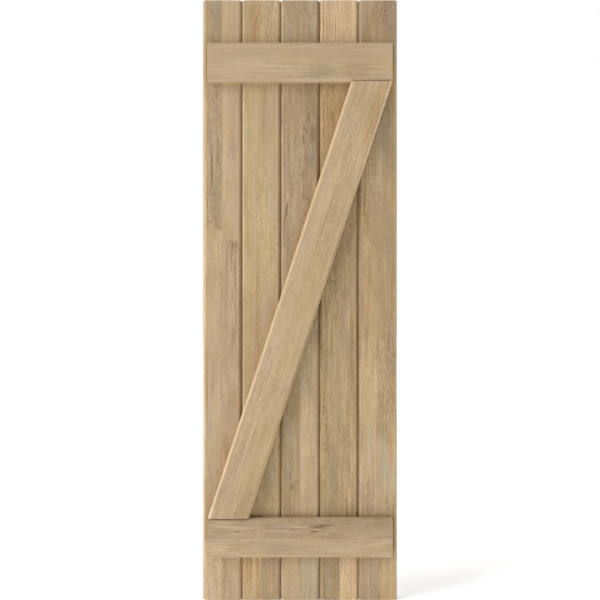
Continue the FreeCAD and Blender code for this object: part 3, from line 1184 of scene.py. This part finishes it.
# %% The bottom batten's wood
finish_strip(
    bottom_batten,
    "bottom_batten_planed_wood",
    BATTEN_LENGTH,
    tone="tan",
    vigour=0.75,
    staves=[(LEFT, 44, FOOT, HEAD, "drab", 1.15)],
    streaks=[
        (43, 370, 2, 60, "pale", 0.4),
        (34, 18, 9, 22, "umber", 0.6),
        (20, 60, 6, 60, "pale", 0.4),
        (30, 200, 2, 40, "pale", 0.5),
        (18, 200, 2, 40, "pale", 0.5),
        (19, 175, 5, 22, "slate", 0.7),
        (18, 247, 10, 27, "bark", 0.8),
        (28, 205, 9, 75, "umber", 0.35),
        (13, 140, 9, 50, "umber", 0.3),
        (13, 26, 10, 32, "cream", 0.35),
        (55, 118, 10, 32, "umber", 0.4),
        (55, 388, 10, 30, "cream", 0.3),
        (36, 282, 5, 18, "umber", 0.7),
        (20, 355, 18, 80, "umber", 0.4),
        (66, 20, 18, 30, "pale", 0.6),
        (66, 160, 18, 40, "slate", 0.6),
        (66, 300, 22, 80, "mist", 0.4),
        (64, 60, 14, 28, "clay", 0.7),
    ],
    knots=[(28, 242, 2.6, 15)],
    lines=[
        (28, 69, 1.5, 14, 0.0, 0.7),
        (21, 167, 1.3, 11, 0.0, 0.5),
        (32, 285, 1.6, 11, 0.25, 0.5),
        (13, 264, 1.4, 22, 0.1, 0.35),
        (22, 276, 1.3, 20, 0.12, 0.35),
        (49, 68, 1.3, 11, 0.0, 0.3),
        (52, 100, 1.3, 11, 0.0, 0.25),
    ],
)

# %% [markdown]
# The brace is of paler wood. A yellower stave runs up its right-hand edge and ends in a joint high up, where
# golden lines take over. Its foot is darker, and the edge that faces away from the window is painted darker
# as shade.

# %% The brace's wood
finish_strip(
    brace,
    "brace_wood",
    brace_length,
    tone="peach",
    vigour=0.9,
    staves=[(41, RIGHT, FOOT, 803, "straw", 0.85)],
    streaks=[
        (72, 975, 14, 120, "honey", 1.0),
        (82, 930, 2, 120, "bark", 0.35),
        (74, 960, 2, 100, "amber", 0.9),
        (62, 985, 2, 80, "amber", 0.8),
        (84, 1025, 3, 40, "fern", 0.9),
        (30, 965, 20, 80, "fawn", 0.5),
        (20, 900, 14, 140, "rose", 0.4),
        (64, 106, 12, 45, "fern", 0.8),
        (58, 40, 3, 40, "amber", 0.9),
        (50, 55, 2.5, 35, "amber", 0.7),
        (66, 28, 2, 25, "umber", 0.7),
        (66, 520, 24, 220, "honey", 0.35),
        (60, 620, 26, 230, "fawn", 0.55),
        (74, 310, 14, 190, "drab", 0.5),
        (31, 250, 12, 80, "cream", 0.4),
        (15, 45, 24, 60, "drab", 0.7),
        (72, 45, 18, 60, "olive", 0.8),
        (50, 985, 9, 70, "amber", 0.45),
        (72, 1030, 14, 40, "amber", 0.5),
        (15, 1010, 12, 70, "fawn", 0.5),
        (78, 850, 8, 40, "honey", 0.5),
        # painted shade on the edge that faces away from the window
        (87, 500, 4, 520, "umber", 0.6),
    ],
    lines=[
        (78, 965, 1.3, 70, 0.02, 0.5),
        (72, 935, 1.3, 60, 0.02, 0.45),
        (66, 985, 1.3, 80, 0.02, 0.45),
        (60, 955, 1.2, 60, 0.02, 0.35),
        (84, 985, 1.3, 40, 0.0, 0.5),
        (57, 35, 1.3, 40, 0.03, 0.35),
        (63, 45, 1.3, 30, 0.03, 0.3),
    ],
)

# %% [markdown]
# The screws are zinc plated. Zinc has small crystals, which show as a slight cloudiness in colour and gloss.
# An image of zinc could be wrapped on, but noise stays sharp however close the eye comes to a small head.

# %% The screws' finish
ZINC_DULL = (0.42, 0.41, 0.38, 1)
ZINC_BRIGHT = (0.68, 0.67, 0.64, 1)
CRYSTALS = {"Scale": 900.0, "Detail": 3.0}
ZINC_SMOOTH, ZINC_ROUGHER = 0.22, 0.3
ZINC_BUMP = {"Strength": 0.15, "Distance": 0.0001}
zinc = bpy.data.materials.new("zinc_plate")
zinc.use_nodes = True
plating = zinc.node_tree
zinc_shader = plating.nodes["Principled BSDF"].inputs
zinc_shader["Metallic"].default_value = 1.0
on_screw = add(plating, "TexCoord", {}).outputs["Object"]
cloud = add(plating, "TexNoise", {"Vector": on_screw, **CRYSTALS}).outputs["Fac"]
plating.links.new(blend(plating, cloud, ZINC_DULL, ZINC_BRIGHT), zinc_shader["Base Color"])
plating.links.new(sums(plating, "MULTIPLY_ADD", cloud, ZINC_ROUGHER, ZINC_SMOOTH), zinc_shader["Roughness"])
zinc_bump = add(plating, "Bump", {**ZINC_BUMP, "Height": cloud}).outputs["Normal"]
plating.links.new(zinc_bump, zinc_shader["Normal"])
screws.data.materials.append(zinc)
print("screws plated, crystals about", 1 / CRYSTALS["Scale"], "m wide")

# %% [markdown]
# The picture is taken square from the front, with the shutter filling the height of the frame. From a short
# distance the battens look a little larger than the boards behind them, which sets how far away the camera
# stands. Half the view is the half height of what it sees at the face of the boards.

# %% Camera
VIEW_DISTANCE = 1.7
HALF_VIEW = 0.6862
lens = bpy.data.cameras.new("front_view")
lens.angle = 2 * math.atan(HALF_VIEW / VIEW_DISTANCE)
camera = bpy.data.objects.new("front_view", lens)
camera.location = (0, -BOARD_THICKNESS - VIEW_DISTANCE, 0)
camera.rotation_euler = (math.pi / 2, 0, 0)
bpy.context.scene.collection.objects.link(camera)
bpy.context.scene.camera = camera
print(f"angle of view {math.degrees(lens.angle):.1f} degrees")

# %% [markdown]
# A soft window on the left grazes the boards, so the left flank of every V-joint is bright, the right one
# dark, and the brace throws a soft shadow to the right. Two strips beside the shutter, just behind its face,
# pick out the outer chamfers. The power of a lamp is worked out from the level wanted on a white sheet at
# the shutter.


# %% Lamps
def soft_box(name, azimuth, elevation, distance, width, height, level):
    """An area lamp aimed at the shutter's middle. Its power is level * pi^2 * distance^2."""
    turn, rise = math.radians(azimuth), math.radians(elevation)
    lamp = bpy.data.lights.new(name, "AREA")
    lamp.shape = "RECTANGLE"
    lamp.size, lamp.size_y = width, height
    lamp.energy = level * math.pi**2 * distance**2
    holder = bpy.data.objects.new(name, lamp)
    beside, before = math.sin(turn) * math.cos(rise), -math.cos(turn) * math.cos(rise)
    holder.location = (distance * beside, distance * before, distance * math.sin(rise))
    holder.rotation_euler = (math.pi / 2 - rise, 0, turn)
    holder.visible_camera = False
    bpy.context.scene.collection.objects.link(holder)
    print(f"{name}: {lamp.energy:.0f} W")


soft_box("window", azimuth=-66, elevation=29, distance=16.0, width=7.5, height=6.8, level=0.71)
soft_box("right_strip", azimuth=98, elevation=-5, distance=3.0, width=0.5, height=2.0, level=0.4)
soft_box("left_strip", azimuth=-100, elevation=-5, distance=3.0, width=0.5, height=2.0, level=0.35)

# %% [markdown]
# Round the shutter is a white room that is brightest at the sides and darkest behind the camera, where a
# studio has its black curtain. To the eye and in gloss it is plain white, so the Light Path node picks what
# a ray gets to see. The heading of a ray is -1 towards the camera and 1 behind the shutter.

# %% The white room
ROOM_FRONT, ROOM_SIDE, ROOM_BACK = 0.05, 1.2, 0.7
CURTAIN_HEADING = -0.6
BACK_HEADING = 0.5
WHITE = (1, 1, 1, 1)


def seen_rays(tree):
    """1 for a ray from the camera, or from gloss or glass, and 0 for light on its way between surfaces."""
    ray = add(tree, "LightPath", {}).outputs
    gloss = sums(tree, "MAXIMUM", ray["Is Glossy Ray"], ray["Is Transmission Ray"])
    return sums(tree, "MAXIMUM", ray["Is Camera Ray"], gloss)


world = bpy.data.worlds.new("white_room")
world.use_nodes = True
bpy.context.scene.world = world
room = world.node_tree
room.nodes.clear()
heading = add(room, "SeparateXYZ", {0: add(room, "TexCoord", {}).outputs["Generated"]}).outputs["Y"]
front = ramp(room, heading, CURTAIN_HEADING, 0.0, ROOM_FRONT, ROOM_SIDE)
back = ramp(room, heading, 0.0, BACK_HEADING, 1.0, ROOM_BACK / ROOM_SIDE)
brightness = choose(room, seen_rays(room), sums(room, "MULTIPLY", front, back), 1.0)
sky = add(room, "Background", {"Color": WHITE, "Strength": brightness})
room.links.new(sky.outputs["Background"], add(room, "OutputWorld", {}).inputs["Surface"])
bpy.context.scene.view_settings.view_transform = "Standard"
print("room light in front, beside, behind:", ROOM_FRONT, ROOM_SIDE, ROOM_BACK)

# %% [markdown]
# The floor is a sheet of white paper on a light table. It throws light up, under the battens and into the
# V-joints, and keeps a faint shadow. Further out it turns into the white of the room, as a paper sweep in a
# studio does, so no horizon shows.

# %% Floor
FLOOR_REACH = 12.0
FLOOR_CLEARANCE = 0.001
PAPER = (0.9, 0.9, 0.9, 1)
PAPER_ROUGHNESS = 0.9
TABLE_LIGHT = 0.43
SHADOW_REACH, SWEEP_REACH = 1.2, 4.0
NEAR_GLOW, FAR_GLOW = 0.2, 0.6
floor_level = -BOARD_LENGTH / 2 - FLOOR_CLEARANCE
floor_mesh = bpy.data.meshes.new("paper_floor")
corners = FLOOR_REACH * np.array([[-1, -1], [1, -1], [1, 1], [-1, 1]])
floor_mesh.from_pydata(np.c_[corners, np.full(4, floor_level)].tolist(), [], [(0, 1, 2, 3)])
floor = bpy.data.objects.new("paper_floor", floor_mesh)
bpy.context.scene.collection.objects.link(floor)
paper = bpy.data.materials.new("white_paper")
paper.use_nodes = True
sheet = paper.node_tree
paper_shader = sheet.nodes["Principled BSDF"].inputs
paper_shader["Base Color"].default_value = PAPER
paper_shader["Roughness"].default_value = PAPER_ROUGHNESS
paper_shader["Emission Color"].default_value = WHITE
from_foot = {0: add(sheet, "TexCoord", {}).outputs["Object"], 1: (0, 0, floor_level)}
far = add(sheet, "VectorMath", from_foot, operation="DISTANCE").outputs["Value"]
sweep = ramp(sheet, far, SHADOW_REACH, SWEEP_REACH, NEAR_GLOW, FAR_GLOW)
glow = choose(sheet, seen_rays(sheet), TABLE_LIGHT, sweep)
sheet.links.new(glow, paper_shader["Emission Strength"])
floor_mesh.materials.append(paper)
print(f"floor at {floor_level:.4f} m, white from {SWEEP_REACH} m outwards")
